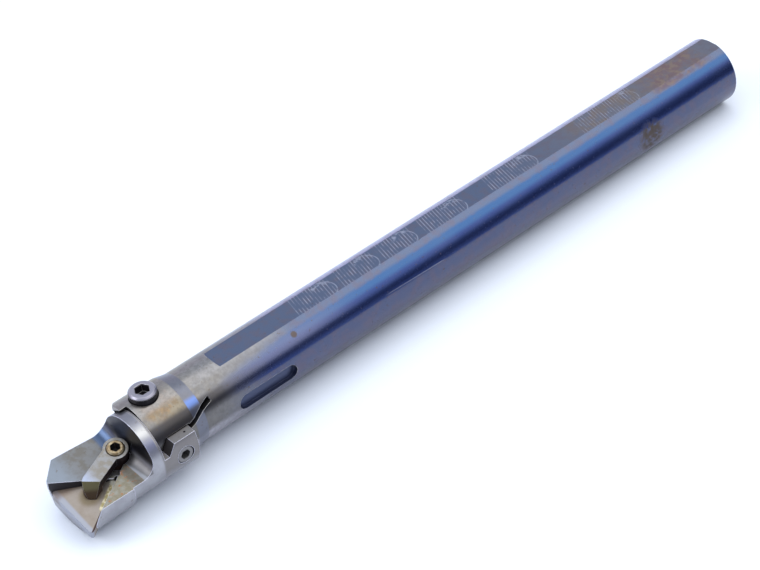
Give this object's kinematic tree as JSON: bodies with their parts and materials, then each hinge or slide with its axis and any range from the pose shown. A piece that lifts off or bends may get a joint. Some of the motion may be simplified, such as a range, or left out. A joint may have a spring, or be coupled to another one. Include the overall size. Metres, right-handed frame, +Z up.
{
  "type": "boring bar",
  "caption": "Round steel boring bar with a flatted shank, a split clamping collar, a cross-sliding cutting head, an empty insert pocket and a finger clamp.",
  "frame": {"origin": "centre of the shank's rear face", "axes": "+X runs along the bar to the cutting end, +Z goes up through the shank's upper flat, +Y is the side that the cutting corner faces"},
  "size_m": [0.3048, 0.0317, 0.0308],
  "materials": {
    "blued_steel": "blued steel, worn bare near the collar, with some rust",
    "bare_steel": "bare satin steel with light rust stains",
    "black_screw": "black oxide steel, rubbed bright on the rim",
    "dull_screw": "dull grey steel",
    "worn_steel": "worn steel, stained brown on the nose",
    "brown_screw": "steel stained brown",
    "carbide": "ground carbide with a brown stain"
  },
  "bodies": {
    "bar": {"shank_bar": "blued_steel"},
    "head": {"cutting_head": "bare_steel", "insert_seat": "carbide", "seat_pin": "dull_screw"},
    "jaw_screw": {"jaw_cap_screw": "black_screw"},
    "adjusting_screw": {"head_adjusting_screw": "dull_screw"},
    "clamp": {"insert_clamp": "worn_steel"},
    "clamp_screw": {"insert_clamp_screw": "brown_screw"}
  },
  "joints": [
    {"name": "head_cross_slide", "type": "slide", "parent": "bar", "child": "head", "axis": [0, 1, 0], "range_m": [-0.0005, 0.0005]},
    {"name": "jaw_screw_turn", "type": "hinge", "parent": "bar", "child": "jaw_screw", "pos_m": [0.2653, -0.0015, 0], "axis": [0, 0, 1], "range_deg": [0, 360]},
    {"name": "adjusting_screw_turn", "type": "hinge", "parent": "bar", "child": "adjusting_screw", "pos_m": [0.26485, 0.01, -0.0005], "axis": [0, 1, 0], "range_deg": [-198.5, 198.5]},
    {"name": "clamp_lift", "type": "slide", "parent": "head", "child": "clamp", "axis": [0.051, 0.2247, 0.9731], "range_m": [0, 0.0055]},
    {"name": "clamp_screw_turn", "type": "hinge", "parent": "clamp", "child": "clamp_screw", "pos_m": [0.28155, 0.00307, 0.00475], "axis": [0.051, 0.2247, 0.9731], "range_deg": [0, 2500]}
  ],
  "couplings": [
    {"joint": "adjusting_screw_turn", "follows": "head_cross_slide", "rad_per_m": -6927.4},
    {"joint": "clamp_screw_turn", "follows": "clamp_lift", "rad_per_m": 7915.5}
  ]
}
